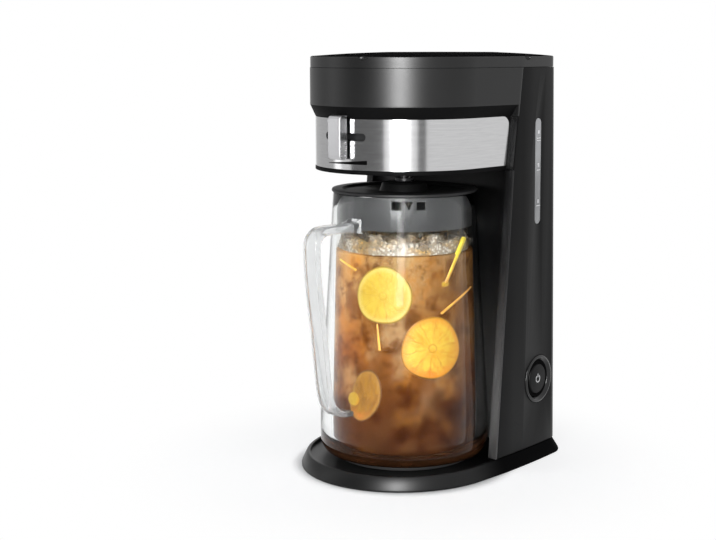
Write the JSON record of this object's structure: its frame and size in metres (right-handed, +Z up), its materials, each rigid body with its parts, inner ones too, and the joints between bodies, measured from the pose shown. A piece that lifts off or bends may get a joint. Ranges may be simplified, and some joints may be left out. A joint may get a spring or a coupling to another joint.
{
  "type": "iced tea maker",
  "caption": "Iced tea maker: a drum-shaped head with a steel band and strength slider on a leaning tower, a hinged top lid, a power button, and a glass jug with a ribbon handle.",
  "frame": {"origin": "on the table, in the middle of the whole outline", "axes": "+Z up; -Y is the front, where the jug's handle points; +X is the side with the power button and the level window"},
  "size_m": [0.1764, 0.2378, 0.352],
  "materials": {
    "black_plastic": "satin black moulding",
    "dark_plastic": "matt black moulding",
    "grey_plastic": "matt grey moulding",
    "brushed_steel": "brushed round the drum",
    "bright_metal": "bright plated",
    "clear_glass": "clear, polished",
    "clear_plastic": "smoked clear lens",
    "tank_plastic": "clear moulding",
    "silicone": "translucent silicone",
    "black_rubber": "matt",
    "aluminium": "as drawn",
    "mesh_steel": "fine woven mesh and drawn tube",
    "terminal_white": "matt white"
  },
  "bodies": {
    "body": {"base_screw_1": "bright_metal", "base_screw_2": "bright_metal", "base_screw_3": "bright_metal", "base_screw_4": "bright_metal", "base_shell": "black_plastic", "boiler_bracket": "aluminium", "boiler_tube": "aluminium", "bottom_cover": "dark_plastic", "brew_basket": "dark_plastic", "button_bezel": "black_plastic", "button_ring": "black_rubber", "button_spring": "bright_metal", "check_valve": "grey_plastic", "cord_gland": "dark_plastic", "filter_frame": "dark_plastic", "filter_screen": "mesh_steel", "foot_1": "black_rubber", "foot_2": "black_rubber", "foot_3": "black_rubber", "foot_4": "black_rubber", "head_deck": "dark_plastic", "head_floor": "dark_plastic", "head_housing": "black_plastic", "heating_element": "mesh_steel", "hinge_bracket": "dark_plastic", "hinge_pin": "bright_metal", "jug_seat": "black_rubber", "level_window": "clear_plastic", "power_switch": "dark_plastic", "riser_nozzle": "grey_plastic", "riser_tube": "silicone", "steel_band": "brushed_steel", "tank_hose": "silicone", "terminal_block": "terminal_white", "thermal_fuse": "terminal_white", "thermostat": "grey_plastic", "tower_front": "black_plastic", "tower_shell": "black_plastic", "valve_spring": "bright_metal", "water_tank": "tank_plastic"},
    "top_lid": {"top_lid": "black_plastic", "spray_head": "grey_plastic"},
    "slider": {"slider_knob": "bright_metal", "slider_carriage": "dark_plastic", "bypass_collar": "grey_plastic"},
    "drip_valve": {"drip_plunger": "grey_plastic", "valve_seal": "black_rubber"},
    "power_button": {"power_button": "black_plastic"},
    "jug": {"jug": "clear_glass"},
    "jug_lid": {"jug_lid": "dark_plastic", "lid_skirt": "grey_plastic"}
  },
  "joints": [
    {"name": "lid_hinge", "type": "hinge", "parent": "body", "child": "top_lid", "pos_m": [0, 0.10322, 0.3449], "axis": [-1, 0, 0], "range_deg": [0, 95]},
    {"name": "strength_slide", "type": "hinge", "parent": "body", "child": "slider", "pos_m": [0, -0.00508, 0.2847], "axis": [0, 0, 1], "range_deg": [-12.5, 12.5]},
    {"name": "valve_lift", "type": "slide", "parent": "body", "child": "drip_valve", "axis": [0, 0, 1], "range_m": [0, 0.004], "stiffness_N_per_m": 100, "springref_m": -0.004, "deforming": ["valve_spring"]},
    {"name": "button_press", "type": "slide", "parent": "body", "child": "power_button", "axis": [-0.9977, -0.0683, 0], "range_m": [0, 0.0018], "stiffness_N_per_m": 500, "springref_m": -0.001, "deforming": ["button_spring"]},
    {"name": "jug_out", "type": "slide", "parent": "body", "child": "jug", "axis": [0, -1, 0], "range_m": [0, 0.2]},
    {"name": "jug_lid_turn", "type": "hinge", "parent": "jug", "child": "jug_lid", "pos_m": [0, -0.00508, 0.2355], "axis": [0, 0, 1], "range_deg": [0, 135]}
  ]
}
